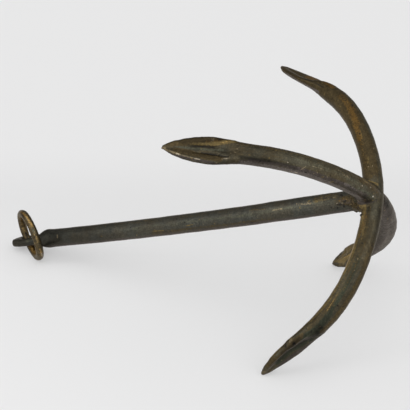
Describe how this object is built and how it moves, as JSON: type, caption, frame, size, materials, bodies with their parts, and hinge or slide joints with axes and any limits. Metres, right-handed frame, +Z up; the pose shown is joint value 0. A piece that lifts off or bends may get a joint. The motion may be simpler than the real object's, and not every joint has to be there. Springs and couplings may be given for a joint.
{
  "type": "grapnel anchor",
  "caption": "Forged grapnel anchor of round iron bar: a straight shank with a ring in its flattened eye, and arms with hollowed palms curving out of a welded crown.",
  "frame": {"origin": "middle of the object's footprint, on the floor it lies on", "axes": "+Z up; the shank lies above the X axis, its ring towards -X and its crown and arms towards +X"},
  "size_m": [0.555, 0.3148, 0.2902],
  "materials": {
    "dark_iron": "worn dark patina, satin, rubbed ochre along its ridges",
    "rubbed_iron": "rubbed golden-brown patina, satin",
    "weld_crust": "rough rusty weld crust with pale specks"
  },
  "bodies": {
    "anchor": {"shank": "dark_iron", "long_bow": "dark_iron", "near_half_arm": "dark_iron", "far_half_arm": "dark_iron", "crown_weld": "weld_crust"},
    "ring": {"ring": "rubbed_iron"}
  },
  "joints": [
    {"name": "ring_swing", "type": "hinge", "parent": "anchor", "child": "ring", "pos_m": [-0.25016, 0.00201, 0.01561], "axis": [-0.6166, 0.2916, 0.7313], "range_deg": [-290, 18]}
  ]
}
